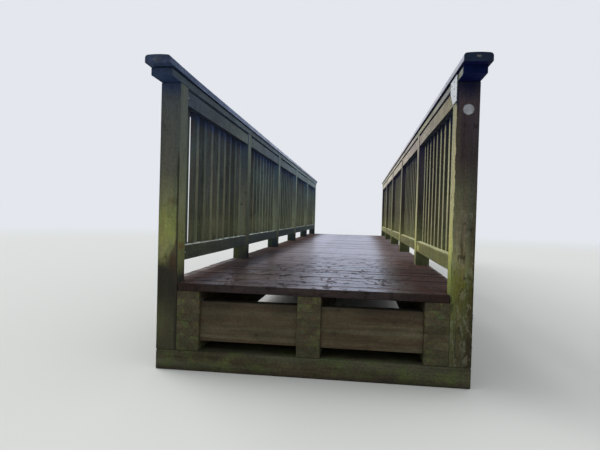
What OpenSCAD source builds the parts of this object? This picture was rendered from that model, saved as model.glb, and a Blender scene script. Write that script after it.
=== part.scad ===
// Timber footbridge: five bays of picket parapet on three glued laminated beams.
// X runs across the walkway, Y along it and Z up. The origin is under the middle
// of the bridge, level with the undersides of the two bank seats.

/* [Walkway] */
// Clear width between the inner faces of the posts
clear_width = 1600; // [1200:10:2400]
// Number of bays between the posts along one side
bay_count = 5; // [3:1:6]
// Distance from one post to the next along the bridge
bay_pitch = 1800; // [1500:10:2200]

/* [Posts] */
// Side of the square section of a post
post_side = 125; // [100:5:150]
// Height of a post above the deck
post_height = 1200; // [1000:10:1400]
// Width of the flat planed on each upright edge of a post
post_chamfer = 5; // [2:1:12]
// Rise of the slanted cut under a post's foot, which sheds drips
post_foot_fall = 25; // [10:1:40]

/* [Panel rails] */
// Thickness of a rail, measured across the bridge
rail_thickness = 38; // [25:1:45]
// Depth of a rail, measured upright
rail_depth = 95; // [60:1:120]
// Height of the underside of the bottom rail above the deck
bottom_rail_rise = 128; // [80:1:200]
// Gap between the top rail and the timber over the posts
top_rail_gap = 13; // [5:1:40]
// Fall of a rail's top face away from the pickets, which sheds rain
rail_fall = 3; // [1:0.5:6]
// Width of the flat planed on the two edges of a rail that face away from the pickets
rail_chamfer = 3; // [1:0.5:6]

/* [Pickets] */
// Number of pickets in one bay
picket_count = 9; // [5:1:11]
// Width of a picket along the bridge
picket_width = 50; // [40:1:80]
// Thickness of a picket across the bridge
picket_thickness = 47; // [20:1:50]
// Depth of the notch in a picket where a rail crosses it, on each side
picket_housing = 4; // [2:1:10]
// Distance from a picket's foot up from the underside of the bottom rail
picket_foot_gap = 12; // [5:1:30]
// Distance from a picket's head down from the top of the top rail
picket_head_gap = 12; // [8:1:30]
// Fall of a picket's head towards the outside, which sheds rain
picket_fall = 8; // [2:1:15]
// Share of its gap by which the first left picket stands nearer to its post
first_picket_shift = 0.32; // [0:0.01:0.8]

/* [Handrail] */
// Depth of the timber that lies on the post tops
under_rail_depth = 45; // [30:1:70]
// How far the timber on the post tops runs past the end posts
under_rail_overhang = 150; // [60:5:300]
// Width of the flat planed on the long edges of that timber
under_rail_chamfer = 3; // [1:0.5:6]
// Width of the handrail
handrail_width = 150; // [130:1:200]
// Depth of the handrail in its middle
handrail_depth = 49; // [35:1:70]
// Radius of the curved top of the handrail
handrail_crown_radius = 600; // [300:10:2000]
// Radius of the rounded shoulders of the handrail
handrail_shoulder = 16; // [6:1:24]
// How far the handrail runs past the end posts
handrail_overhang = 210; // [100:5:400]

/* [Deck] */
// Number of deck boards in one bay
boards_per_bay = 12; // [8:1:14]
// Gap between two deck boards
board_gap = 6; // [3:0.5:12]
// Thickness of a deck board
board_thickness = 45; // [30:1:60]
// Clearance between a deck board and the post that it is cut back from
board_post_gap = 4; // [2:0.5:10]
// Width of the flat planed on the long upper edges of a board
board_chamfer = 3; // [1:0.5:5]

/* [Beams and seats] */
// Width of a main beam
beam_width = 140; // [100:5:200]
// Depth of a main beam
beam_depth = 360; // [280:5:500]
// Width of a cross block between the beams, along the bridge
block_width = 80; // [50:5:120]
// Distance from a cross block to the top and the underside of the beams
block_inset = 60; // [30:5:100]
// Width of a bank seat along the bridge
seat_width = 300; // [250:10:500]
// Depth of a bank seat
seat_depth = 120; // [80:5:250]

/* [Fittings] */
// Distance from the near face of the first right post to the metal plate
plate_start = 18; // [5:1:40]
// How far the metal plate runs past the post along the rails
plate_reach = 83; // [50:1:150]
// How far the metal plate runs down from the post top
plate_drop = 106; // [80:1:200]
// Gap between the metal plate and the handrail above it
plate_head_gap = 2; // [1:0.5:20]
// Thickness of the metal plate
plate_thickness = 3; // [2:0.5:5]
// Diameter of the round marker on the first right post
marker_diameter = 62; // [40:1:80]
// Thickness of the round marker
marker_thickness = 3; // [2:0.5:6]
// Distance from the post top down to the middle of the round marker
marker_drop = 158; // [60:1:400]

/* [Hidden] */
post_count = bay_count + 1;
bays = [1 : bay_count];
posts = [1 : post_count];
sides = [["left", -1], ["right", 1]];

$fn = 48;
arc_steps = 8;

inner_face = clear_width / 2;
outer_face = inner_face + post_side;
post_axis = inner_face + post_side / 2;
bridge_length = bay_count * bay_pitch + post_side;
near_end = -bridge_length / 2;

beam_top = seat_depth + beam_depth;
deck_top = beam_top + board_thickness;
post_top = deck_top + post_height;
under_rail_top = post_top + under_rail_depth;

panel_length = bay_pitch - post_side;
panel_thickness = picket_thickness + 2 * (rail_thickness - picket_housing);
top_rail_rise = post_height - top_rail_gap - rail_depth;

board_pitch = bay_pitch / boards_per_bay;
board_width = board_pitch - board_gap;

beam_axis = inner_face - beam_width / 2;
block_length = beam_axis - beam_width;
block_depth = beam_depth - 2 * block_inset;

// Y of the near face of post i, counted from 1 at the near end
function post_start(i) = near_end + (i - 1) * bay_pitch;

// An outline drawn in X and Z, run along Y from start for a length
module run_along(start, length) {
    translate([0, start + length, 0])
        rotate([90, 0, 0])
            linear_extrude(height = length)
                children();
}

// A block given by its lower, near, left corner and its size
module timber(corner, size) {
    translate(corner)
        cube(size);
}

// A rectangle centred on X, standing on the X axis, with its four corners cut off
module planed_section(width, depth, chamfer) {
    half = width / 2;
    flat = half - chamfer;
    polygon([
        [-flat, 0], [flat, 0], [half, chamfer], [half, depth - chamfer],
        [flat, depth], [-flat, depth], [-half, depth - chamfer], [-half, chamfer]
    ]);
}

// A post bolted to the outer face of a beam, with its foot cut to fall outwards
module post(side, i) {
    color("darkolivegreen")
        translate([0, post_start(i), seat_depth])
            mirror([side < 0 ? 1 : 0, 0, 0])
                difference() {
                    translate([post_axis, 0, 0])
                        linear_extrude(height = post_top - seat_depth)
                            planed_section(post_side, post_side, post_chamfer);
                    if (i > 1 && i < post_count)
                        post_foot_cut();
                }
}

// What is cut from the foot of a post that hangs beside a beam, clear of the seats
module post_foot_cut() {
    run_along(0, post_side)
        polygon([[inner_face, 0], [outer_face, 0], [outer_face, post_foot_fall]]);
}

// The section of a rail, with its free face on the Z axis and a top that falls towards that face
module rail_section() {
    front_height = rail_depth - rail_fall;
    polygon([
        [rail_chamfer, 0], [rail_thickness, 0],
        [rail_thickness, rail_depth], [rail_chamfer, front_height],
        [0, front_height - rail_chamfer], [0, rail_chamfer]
    ]);
}

// A pair of rails at a height above the deck, one on each side of the pickets
module rail_pair(rise) {
    translate([post_axis, 0, deck_top + rise])
        run_along(0, panel_length)
            for (outer = [0, 1])
                mirror([outer, 0])
                    translate([-panel_thickness / 2, 0])
                        rail_section();
}

// A picket seen from its edge, with a head that falls towards the outside
module picket_section() {
    foot = bottom_rail_rise + picket_foot_gap;
    head = top_rail_rise + rail_depth - picket_head_gap;
    polygon([
        [0, foot], [picket_thickness, foot],
        [picket_thickness, head - picket_fall], [0, head]
    ]);
}

// The pickets of one bay, spaced evenly between the posts but for a share that moves the first
module pickets(first_shift) {
    gap = (panel_length - picket_count * picket_width) / (picket_count + 1);
    translate([post_axis - picket_thickness / 2, 0, deck_top])
        for (k = [0 : picket_count - 1])
            run_along(gap + k * (picket_width + gap) - (k == 0 ? first_shift * gap : 0), picket_width)
                picket_section();
}

// One bay of parapet, in line with the posts: two pairs of rails with the pickets housed between
module panel(side, i) {
    color("olivedrab")
        translate([0, post_start(i) + post_side, 0])
            mirror([side < 0 ? 1 : 0, 0, 0])
                union() {
                    rail_pair(bottom_rail_rise);
                    rail_pair(top_rail_rise);
                    pickets(side < 0 && i == 1 ? first_picket_shift : 0);
                }
}

// The timber laid on the post tops, under the handrail
module under_rail(side) {
    color("darkolivegreen")
        translate([side * post_axis, 0, post_top])
            run_along(near_end - under_rail_overhang, bridge_length + 2 * under_rail_overhang)
                planed_section(post_side, under_rail_depth, under_rail_chamfer);
}

// Points of an arc about a centre, with angles counted anticlockwise from +X
function arc(centre, radius, from, to) = [
    for (k = [0 : arc_steps])
        let (angle = from + (to - from) * k / arc_steps)
            centre + radius * [cos(angle), sin(angle)]
];

// The handrail's section: a flat underside, and shoulders that run smoothly into a curved top
module handrail_section() {
    half = handrail_width / 2;
    shoulder_x = half - handrail_shoulder;
    radius_gap = handrail_crown_radius - handrail_shoulder;
    crown_centre = handrail_depth - handrail_crown_radius;
    shoulder_centre = crown_centre + sqrt(pow(radius_gap, 2) - pow(shoulder_x, 2));
    turn = asin(shoulder_x / radius_gap);
    polygon(concat(
        [[-half, 0], [half, 0]],
        arc([shoulder_x, shoulder_centre], handrail_shoulder, 0, 90 - turn),
        arc([0, crown_centre], handrail_crown_radius, 90 - turn, 90 + turn),
        arc([-shoulder_x, shoulder_centre], handrail_shoulder, 90 + turn, 180)
    ));
}

// The handrail, which runs unbroken past the posts at both ends
module handrail(side) {
    color("darkslategray")
        translate([side * post_axis, 0, under_rail_top])
            run_along(near_end - handrail_overhang, bridge_length + 2 * handrail_overhang)
                handrail_section();
}

// The section of a deck board in Y and Z, with its two upper edges planed
module board_section(width) {
    polygon([
        [0, 0], [width, 0],
        [width, board_thickness - board_chamfer], [width - board_chamfer, board_thickness],
        [board_chamfer, board_thickness], [0, board_thickness - board_chamfer]
    ]);
}

// A deck board laid across the beams, with its near edge at start
module board(start, width, half_length) {
    translate([-half_length, start, beam_top])
        rotate([90, 0, 90])
            linear_extrude(height = 2 * half_length)
                board_section(width);
}

// The boards of one bay: those beside a post are cut back to fit between the posts
module deck_boards(i) {
    cut_back = inner_face - board_post_gap;
    color("saddlebrown") {
        for (k = [0 : boards_per_bay - 1])
            board(
                post_start(i) + k * board_pitch,
                board_width,
                k * board_pitch < post_side + board_post_gap ? cut_back : outer_face
            );
        if (i == bay_count)
            board(post_start(post_count), post_side, cut_back);
    }
}

// A main beam that runs the whole length of the bridge
module beam(axis) {
    color("sienna")
        timber(
            [axis - beam_width / 2, near_end, seat_depth],
            [beam_width, bridge_length, beam_depth]
        );
}

// Blocks between the beams at every pair of posts, which hold the posts upright
module cross_blocks() {
    color("peru")
        for (i = posts, bay_side = [-1, 0])
            timber(
                [
                    beam_width / 2 + bay_side * (beam_width + block_length),
                    post_start(i) + (post_side - block_width) / 2,
                    seat_depth + block_inset
                ],
                [block_length, block_width, block_depth]
            );
}

// A bank seat across the whole width, under the ends of the beams and the end posts
module bank_seat(start) {
    color("dimgray")
        timber([-outer_face, start, 0], [2 * outer_face, seat_width, seat_depth]);
}

// The metal plate that ties the timber over the post, the post and the top rail
module post_plate() {
    plate_end = post_side + plate_reach;
    plate_foot = -plate_drop;
    plate_head = under_rail_depth - plate_head_gap;
    color("silver")
        translate([inner_face - plate_thickness, post_start(1), post_top])
            rotate([90, 0, 90])
                linear_extrude(height = plate_thickness)
                    polygon([
                        [plate_start, plate_foot], [post_side, plate_foot],
                        [plate_end, plate_foot + plate_reach],
                        [plate_end, plate_head], [plate_start, plate_head]
                    ]);
}

// The plain round marker on the near face of the first right post
module marker_disc() {
    color("gainsboro")
        translate([post_axis, near_end, post_top - marker_drop])
            rotate([90, 0, 0])
                cylinder(d = marker_diameter, h = marker_thickness);
}

for (side = sides, i = posts)
    post(side[1], i);
for (side = sides, i = bays)
    panel(side[1], i);
for (side = sides)
    under_rail(side[1]);
for (side = sides)
    handrail(side[1]);
for (i = bays)
    deck_boards(i);
beam(-beam_axis);  // beam_left
beam(0);  // beam_middle
beam(beam_axis);  // beam_right
cross_blocks();
bank_seat(near_end);  // bank_seat_near
bank_seat(-near_end - seat_width);  // bank_seat_far
post_plate();
marker_disc();
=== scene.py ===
import math
import random

import bmesh
import bpy
from mathutils import Matrix, Vector


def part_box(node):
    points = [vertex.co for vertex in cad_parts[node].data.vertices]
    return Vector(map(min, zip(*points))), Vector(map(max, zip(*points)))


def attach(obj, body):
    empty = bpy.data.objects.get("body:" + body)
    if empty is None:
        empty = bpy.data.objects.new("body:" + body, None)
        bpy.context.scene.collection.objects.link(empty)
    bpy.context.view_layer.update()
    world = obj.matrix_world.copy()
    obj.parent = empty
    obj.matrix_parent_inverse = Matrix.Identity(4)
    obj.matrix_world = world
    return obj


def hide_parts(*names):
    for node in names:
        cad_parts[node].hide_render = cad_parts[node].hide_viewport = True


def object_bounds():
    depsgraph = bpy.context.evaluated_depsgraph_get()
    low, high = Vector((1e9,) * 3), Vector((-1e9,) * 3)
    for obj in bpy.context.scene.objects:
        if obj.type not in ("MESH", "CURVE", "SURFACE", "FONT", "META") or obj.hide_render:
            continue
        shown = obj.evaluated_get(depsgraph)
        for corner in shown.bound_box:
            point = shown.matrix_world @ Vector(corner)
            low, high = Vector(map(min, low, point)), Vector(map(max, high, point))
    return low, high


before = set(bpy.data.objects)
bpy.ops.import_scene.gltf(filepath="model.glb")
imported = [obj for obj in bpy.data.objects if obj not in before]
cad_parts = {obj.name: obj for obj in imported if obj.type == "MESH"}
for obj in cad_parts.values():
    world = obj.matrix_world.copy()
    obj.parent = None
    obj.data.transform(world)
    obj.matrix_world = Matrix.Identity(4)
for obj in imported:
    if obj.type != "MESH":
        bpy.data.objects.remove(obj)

cadLow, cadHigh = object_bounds()
dice = random.Random(41)
sides = {"left": -1, "right": 1}
bays = 5
deckTop = 0.525
print("frame loaded:", len(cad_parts), "nodes")


def rgb(red, green, blue):
    # screen values from 0 to 255, as the linear numbers that shaders want
    linear = []
    for value in (red, green, blue):
        share = value / 255
        linear.append(share / 12.92 if share <= 0.04045 else ((share + 0.055) / 1.055) ** 2.4)
    return (*linear, 1.0)


# how nodes are set out in a tree: how many in a row, and the steps across and down
nodeGrid = {"row": 12, "across": -190, "down": -210}


class NodeSheet:
    # short ways to make and join the nodes of a material or of the sky
    def __init__(self, owner):
        owner.use_nodes = True
        self.tree = owner.node_tree
        self.tree.nodes.clear()

    def add(self, kind, values=(), **settings):
        # values are numbers, colours or sources for the node's inputs, in their order or by name
        node = self.tree.nodes.new(kind)
        for key, value in settings.items():
            setattr(node, key, value)
        for key, value in values.items() if isinstance(values, dict) else enumerate(values):
            self.feed(node.inputs[key], value)
        row, place = divmod(len(self.tree.nodes), nodeGrid["row"])
        node.location = (nodeGrid["across"] * place, nodeGrid["down"] * row)
        return node

    def join(self, source, target):
        self.tree.links.new(source, target)

    def feed(self, socket, value):
        if isinstance(value, bpy.types.NodeSocket):
            self.join(value, socket)
        else:
            socket.default_value = value


class FinishSheet(NodeSheet):
    # a material under construction, with the steps that the finishes share
    def __init__(self, name):
        self.material = bpy.data.materials.new(name)
        super().__init__(self.material)
        self.output = self.add("ShaderNodeOutputMaterial")
        self.shader = self.add("ShaderNodeBsdfPrincipled")
        self.join(self.shader.outputs["BSDF"], self.output.inputs["Surface"])
        coordinates = self.add("ShaderNodeTexCoord")
        self.place = coordinates.outputs["Object"]
        self.axes = self.split(self.place)
        self.facing = self.split(coordinates.outputs["Normal"])

    def dress(self, values):
        # the shader's own inputs, by name
        for socket, value in values.items():
            self.feed(self.shader.inputs[socket], value)

    def split(self, vector):
        return self.add("ShaderNodeSeparateXYZ", (vector,)).outputs

    def sums(self, operation, *values, clamp=False):
        return self.add("ShaderNodeMath", values, operation=operation, use_clamp=clamp).outputs[0]

    def times(self, first, second):
        return self.sums("MULTIPLY", first, second)

    def plus(self, first, second):
        return self.sums("ADD", first, second)

    def minus(self, first, second):
        return self.sums("SUBTRACT", first, second)

    def size(self, value):
        return self.sums("ABSOLUTE", value)

    def vectors(self, operation, *values):
        node = self.add("ShaderNodeVectorMath", values, operation=operation)
        return node.outputs["Value" if operation == "LENGTH" else "Vector"]

    def vary(self, value, depth):
        # a tone around 1 from a share between 0 and 1
        return self.sums("MULTIPLY_ADD", value, depth, 1 - depth / 2)

    def slide(self, value, start, full):
        # 0 at start and 1 at full, with soft ends
        ends = (start, full, 0.0, 1.0) if start < full else (full, start, 1.0, 0.0)
        return self.add("ShaderNodeMapRange", (value, *ends), interpolation_type="SMOOTHSTEP").outputs[0]

    def stretch(self, vector, scale):
        return self.add("ShaderNodeMapping", {"Vector": vector, "Scale": scale}).outputs[0]

    def noise(self, vector, scale, detail, roughness=0.55, distortion=0.0):
        return self.add("ShaderNodeTexNoise", {
            "Vector": vector, "Scale": scale, "Detail": detail, "Roughness": roughness,
            "Distortion": distortion,
        }).outputs[0]

    def blend(self, amount, first, second, kind="MIX"):
        # 0, 6 and 7 are the inputs for the share and the two colours, and 2 is the mixed colour
        node = self.add(
            "ShaderNodeMix", {0: amount, 6: first, 7: second}, data_type="RGBA", blend_type=kind,
        )
        return node.outputs[2]

    def ramp(self, value, stops):
        node = self.add("ShaderNodeValToRGB", (value,))
        band = node.color_ramp
        while len(band.elements) < len(stops):
            band.elements.new(1.0)
        for element, (position, colour) in zip(band.elements, stops):
            element.position = position
            element.color = colour
        return node.outputs[0]

    def bumps(self, height, strength, depth, socket="Normal"):
        # relief from a height, as deep as depth in metres
        bump = self.add("ShaderNodeBump", {"Strength": strength, "Distance": depth, "Height": height})
        self.dress({socket: bump.outputs[0]})


# how the grain is squeezed in a timber that lies along each axis
grainShapes = {"X": (0.035, 1.0, 1.0), "Y": (1.0, 0.035, 1.0), "Z": (1.0, 1.0, 0.035)}

# for each named face, the axis that it looks along, and where its mask starts and is full
faceLooks = {
    "near": (1, -0.35, -0.8), "up": (2, 0.35, 0.8), "down": (2, -0.35, -0.8),
    "sawnX": (0, 0.6, 0.85), "sawnY": (1, 0.6, 0.85), "inner": (0, -0.35, -0.8), "outer": (0, 0.35, 0.8),
}


def faceMask(sheet, face):
    # 1 on the faces that look one way: the walkway side is inner, and sawn faces are the timber's ends
    axis, start, full = faceLooks[face]
    value = sheet.facing[axis]
    if face.startswith("sawn"):
        value = sheet.size(value)
    if face in ("inner", "outer"):
        value = sheet.times(sheet.sums("SIGN", sheet.axes[0]), value)
    return sheet.slide(value, start, full)


# the deck's boards, with the share of a board's cup that is left at its screws
deckShape = {
    "pitch": 0.15, "width": 0.144, "arris": 0.003, "shortHalf": 0.796, "longHalf": 0.925,
    "perBay": 12, "lift": 0.0018, "cup": 0.0008, "screwCup": 0.69, "endSlip": 0.003, "lastWidth": 0.125,
    "rowStep": 0.23,
}
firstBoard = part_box("deck_boards_1")[0].y

# the run-off stain on the near left post: how far it climbs towards the walkway edge, and how steeply
dripShape = {"outer": 0.925, "width": 0.125, "climb": 0.20, "curve": 2.2}


def axisValue(sheet, axis):
    # what a limit measures: a place, how far from the middle, from the run-off stain's edge or from
    # the middle of a deck board
    if axis == "drip":
        across = sheet.minus(dripShape["outer"], sheet.size(sheet.axes[0]))
        share = sheet.sums("MAXIMUM", sheet.sums("DIVIDE", across, dripShape["width"]), 0.0)
        climb = sheet.times(sheet.sums("POWER", share, dripShape["curve"]), dripShape["climb"])
        return sheet.minus(sheet.axes[2], climb)
    if axis == "board":
        share = sheet.sums("DIVIDE", sheet.minus(sheet.axes[1], firstBoard), deckShape["pitch"])
        across = sheet.times(sheet.sums("FRACT", share), deckShape["pitch"])
        return sheet.size(sheet.minus(across, deckShape["width"] / 2))
    value = sheet.axes["XYZ".index(axis[-1])]
    return sheet.size(value) if axis.startswith("abs") else value


def lay(amount, face, *where, **more):
    # what each layer says: how strongly it shows, on which faces, and its limits, from none to full
    return {"amount": amount, "face": face, "where": where, **more}


def tint(colour, amount, face, *where, **more):
    # a patch of one colour: stains and growth, and also painted shade, shadows, highlights and reflections
    return lay(amount, face, *where, colour=rgb(*colour), **more)


def shade(factors, face, *where, **more):
    # a stretch painted lighter or darker by a factor; most of these are painted light and shade
    return lay(1.0, face, *where, colour=(*factors, 1), kind="MULTIPLY", **more)


def bands(face, axis, *stops, **more):
    # colours that change along an axis, each stop a place and its red, green and blue
    return lay(1.0, face, axis=axis, stops=stops, **more)


# detail, roughness and distortion of each pattern's noise, and the spans of it that count
timberNoise = {
    "figure": (3.0, 0.55, 0.6), "fine": (4.0, 0.65, 0.2), "lines": (2.0, 0.5, 0.3), "cloudy": (5.0, 0.6),
    "mould": (6.0, 0.7), "runs": (3.0, 0.6), "flecks": (2.0, 0.5), "cracked": (2.0,),
    "patch": (5.0, 0.62), "ragged": (4.0, 0.6),
}
timberSpans = {
    "wood": (0.3, 0.5, 0.7), "fine": (0.3, 0.72), "cloudy": (0.25, 0.75), "mould": (0.3, 0.7),
    "runs": (0.3, 0.7), "growth": (0.3, 0.7), "flecks": (0.62, 0.70), "cracked": (0.5, 0.62),
}


def spotMask(sheet, spot, ragged):
    # a mark around one point of a face: its middle and reach on two axes, and its softness
    *spans, softness = spot
    total = 0.0
    for axis, middle, reach in spans:
        offset = sheet.sums("DIVIDE", sheet.minus(axisValue(sheet, axis), middle), reach)
        total = sheet.plus(sheet.times(offset, offset), total)
    away = sheet.sums("SQRT", total)
    if ragged is not None:
        away = sheet.plus(away, ragged)
    return sheet.slide(away, 1 + softness, 1 - softness)


def layerMask(sheet, layer, ragged):
    # where a stain, growth, painted shade or painted highlight lies, as the product of the limits that the
    # layer names
    mask = layer["amount"]
    if layer["face"] != "all":
        mask = sheet.times(faceMask(sheet, layer["face"]), mask)
    for axis, start, full in layer["where"]:
        value = axisValue(sheet, axis)
        if ragged is not None:
            value = sheet.plus(value, ragged)
        mask = sheet.times(sheet.slide(value, start, full), mask)
    if "odd" in layer:
        # only some of the timbers, by the number that each carries
        mask = sheet.times(sheet.slide(sheet.chance, *layer["odd"]), mask)
    if "spot" in layer:
        mask = sheet.times(spotMask(sheet, layer["spot"], ragged), mask)
    if "patch" in layer:
        scale, size, start, full = layer["patch"]
        place = sheet.place if layer.get("whole") else sheet.grain
        spots = sheet.noise(sheet.stretch(place, scale), size, *timberNoise["patch"])
        mask = sheet.times(sheet.slide(spots, start, full), mask)
    return mask


def layRagged(sheet, layer):
    # how a layer's limits wander
    if "ragged" not in layer:
        return None
    size, reach = layer["ragged"]
    wander = sheet.noise(sheet.grain, size, *timberNoise["ragged"])
    return sheet.times(sheet.minus(wander, 0.5), reach * 2)


def layerColour(sheet, layer, ragged):
    # one colour, or colours that change along an axis
    if "stops" not in layer:
        return layer["colour"]
    low, high = layer["stops"][0][0], layer["stops"][-1][0]
    value = axisValue(sheet, layer["axis"])
    if ragged is not None:
        value = sheet.plus(value, ragged)
    share = sheet.sums("DIVIDE", sheet.minus(value, low), high - low, clamp=True)
    stops = [((place - low) / (high - low), rgb(*colour)) for place, *colour in layer["stops"]]
    return sheet.ramp(share, stops)


# knots: how far apart they lie across and along a timber, their radius and the halo's, in metres
knotShape = {"across": 0.085, "along": 0.24, "radius": 0.010, "core": 0.6, "halo": 0.026, "haloDepth": 0.4}


def knotDistance(sheet, along):
    # how far a point is from the nearest knot's middle, so that knots stay round on long timbers
    spacing = [knotShape["along" if axis == along else "across"] for axis in "XYZ"]
    squeezed = sheet.stretch(sheet.grain, [1 / part for part in spacing])
    cells = sheet.add("ShaderNodeTexVoronoi", {"Vector": squeezed, "Scale": 1.0})
    offset = sheet.vectors("SUBTRACT", squeezed, cells.outputs["Position"])
    return sheet.vectors("LENGTH", sheet.vectors("MULTIPLY", offset, spacing))


# what each timber has unless its finish says otherwise: sizes of patterns per metre, then depths
timberLook = {
    "figure": 26, "grain": 170, "lines": 60, "cloud": 11, "mouldSize": 75, "runSize": 55, "fleckSize": 260,
    "crackSize": 9, "lineStretch": 0.4, "cloudStretch": 0.4, "runStretch": 0.07,
    "grainShift": (7.0, 11.0, 5.0), "bright": 1.18, "spread": 0.2, "hue": 0.12,
    "grainDepth": 0.3, "mottle": 0.4, "mould": 0.35, "runs": 0.0, "flecks": 0.5, "knots": 0.5,
    "cracks": 0.6, "crackWidth": 0.012, "relief": 0.5, "growthRelief": 0.5,
    "bump": (0.6, 0.0016), "rough": (0.72, 0.92), "shine": 0.15,
    "fleckColour": (22, 22, 18), "knotColour": (34, 29, 22), "crackColour": (20, 18, 16),
    "glue": None, "layers": (), "wet": None, "dry": (),
}


def timberFinish(name, ownLook):
    # weathered timber: grain along one axis, then stains, growth and painted light and shade laid over it
    # in turn
    look = {**timberLook, **ownLook}
    glue, wet = look["glue"], look["wet"]
    sheet = FinishSheet(name)
    own = sheet.add("ShaderNodeAttribute", attribute_name="timber")
    sheet.chance = own.outputs["Alpha"]
    sheet.grain = sheet.vectors("MULTIPLY_ADD", own.outputs["Color"], look["grainShift"], sheet.place)
    if glue:
        # each glued layer has its own grain and its own tone
        lamella = sheet.sums("DIVIDE", sheet.minus(sheet.axes[2], glue["foot"]), glue["layer"])
        number = sheet.sums("FLOOR", lamella)
        apart = sheet.add("ShaderNodeCombineXYZ", {"Y": sheet.times(number, glue["shift"])})
        sheet.grain = sheet.vectors("ADD", sheet.grain, apart.outputs[0])
    squeeze = grainShapes[look["along"]]
    squeezed = sheet.stretch(sheet.grain, squeeze)
    longer = sheet.stretch(
        sheet.grain, [part * (look["lineStretch"] if part < 1 else 1) for part in squeeze],
    )
    shorter = sheet.stretch(sheet.grain, [part ** look["cloudStretch"] for part in squeeze])
    figure = sheet.noise(squeezed, look["figure"], *timberNoise["figure"])
    fine = sheet.noise(squeezed, look["grain"], *timberNoise["fine"])
    lines = sheet.noise(longer, look["lines"], *timberNoise["lines"])
    cloudy = sheet.noise(shorter, look["cloud"], *timberNoise["cloudy"])
    mould = sheet.noise(sheet.grain, look["mouldSize"], *timberNoise["mould"])
    woods = [rgb(*colour) for colour in look["wood"]]
    colour = sheet.ramp(figure, list(zip(timberSpans["wood"], woods)))
    tone = sheet.times(sheet.vary(sheet.chance, look["spread"]), look["bright"])
    variations = [
        (sheet.slide(fine, *timberSpans["fine"]), look["grainDepth"]),
        (sheet.slide(cloudy, *timberSpans["cloudy"]), look["mottle"]),
        (sheet.slide(mould, *timberSpans["mould"]), look["mould"]),
    ]
    if look["runs"]:
        down = sheet.stretch(sheet.grain, (1, 1, look["runStretch"]))
        runs = sheet.noise(down, look["runSize"], *timberNoise["runs"])
        variations.append((sheet.slide(runs, *timberSpans["runs"]), look["runs"]))
    if glue:
        chance = sheet.add("ShaderNodeTexWhiteNoise", {"W": number}, noise_dimensions="1D")
        variations.append((chance.outputs["Value"], glue["spread"]))
    for value, depth in variations:
        tone = sheet.times(tone, sheet.vary(value, depth))
    for layer in look["layers"]:
        ragged = layRagged(sheet, layer)
        mask = layerMask(sheet, layer, ragged)
        colour = sheet.blend(mask, colour, layerColour(sheet, layer, ragged), layer.get("kind", "MIX"))
    # browner and greener growth in slow patches
    hue = look["hue"]
    growth = sheet.blend(
        sheet.slide(figure, *timberSpans["growth"]),
        (1 + hue, 1, 1 - hue, 1), (1 - hue, 1, 1 - hue / 2, 1),
    )
    colour = sheet.blend(1.0, colour, growth, "MULTIPLY")
    toneColour = sheet.add("ShaderNodeCombineColor", (tone, tone, tone))
    colour = sheet.blend(1.0, colour, toneColour.outputs[0], "MULTIPLY")
    flecks = sheet.noise(sheet.grain, look["fleckSize"], *timberNoise["flecks"])
    flecks = sheet.slide(flecks, *timberSpans["flecks"])
    colour = sheet.blend(sheet.times(flecks, look["flecks"]), colour, rgb(*look["fleckColour"]))
    knots = knotDistance(sheet, look["along"])
    core = sheet.slide(knots, knotShape["radius"], knotShape["radius"] * knotShape["core"])
    halo = sheet.times(sheet.slide(knots, knotShape["halo"], knotShape["radius"]), look["knots"])
    for mask in (sheet.times(halo, knotShape["haloDepth"]), sheet.times(core, look["knots"])):
        colour = sheet.blend(mask, colour, rgb(*look["knotColour"]))
    # drying cracks are thin lines where the stretched noise crosses its middle
    cracks = sheet.slide(sheet.size(sheet.minus(lines, 0.5)), look["crackWidth"], 0.0)
    cracked = sheet.noise(squeezed, look["crackSize"], *timberNoise["cracked"])
    cracks = sheet.times(cracks, sheet.slide(cracked, *timberSpans["cracked"]))
    cracks = sheet.times(cracks, look["cracks"])
    colour = sheet.blend(cracks, colour, rgb(*look["crackColour"]))
    if glue:
        share = sheet.sums("FRACT", lamella)
        seam = sheet.slide(sheet.size(sheet.minus(share, 0.5)), *glue["seam"])
        colour = sheet.blend(sheet.times(seam, glue["seamDepth"]), colour, rgb(*glue["seamColour"]))
    # relief from the open grain and rough growth, then the cracks
    height = sheet.plus(sheet.times(fine, look["relief"]), sheet.times(mould, look["growthRelief"]))
    height = sheet.minus(height, cracks)
    sheet.bumps(height, *look["bump"])
    smoothest, roughest = look["rough"]
    if wet:
        film = layerMask(sheet, wet, layRagged(sheet, wet))
        for layer in look["dry"]:
            film = sheet.times(film, sheet.minus(1.0, layerMask(sheet, layer, layRagged(sheet, layer))))
        roughness = sheet.plus(sheet.times(film, wet["rough"] - roughest), roughest)
        sheet.bumps(height, *look["filmBump"], "Coat Normal")
        sheet.dress({
            "Coat Weight": film, "Coat Roughness": look["coatRough"], "Coat IOR": look["coatBend"],
        })
    else:
        roughness = sheet.plus(sheet.times(fine, roughest - smoothest), smoothest)
    sheet.dress({"Base Color": colour, "Roughness": roughness, "Specular IOR Level": look["shine"]})
    return sheet.material


def joinParts(parts):
    # one bmesh from several, with the numbers that each timber carries
    whole = bmesh.new()
    whole.verts.layers.float_color.new("timber")
    for part in parts:
        carrier = bpy.data.meshes.new("carrier")
        part.to_mesh(carrier)
        part.free()
        whole.from_mesh(carrier)
        bpy.data.meshes.remove(carrier)
    return whole


def markTimber(bm):
    # four numbers for each timber, which give it a tone and a grain of its own
    layer = bm.verts.layers.float_color.new("timber")
    numbers = [dice.random() for _ in range(4)]
    for vert in bm.verts:
        vert[layer] = numbers
    return bm


def roundEdges(bm, edges, offset, segments=2):
    bmesh.ops.bevel(
        bm, geom=edges, offset=offset, offset_type="OFFSET",
        segments=segments, profile=0.5, affect="EDGES", material=-1,
    )


def sharpEdges(bm, least=1.0):
    return [edge for edge in bm.edges if edge.calc_face_angle(0) > least]


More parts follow.
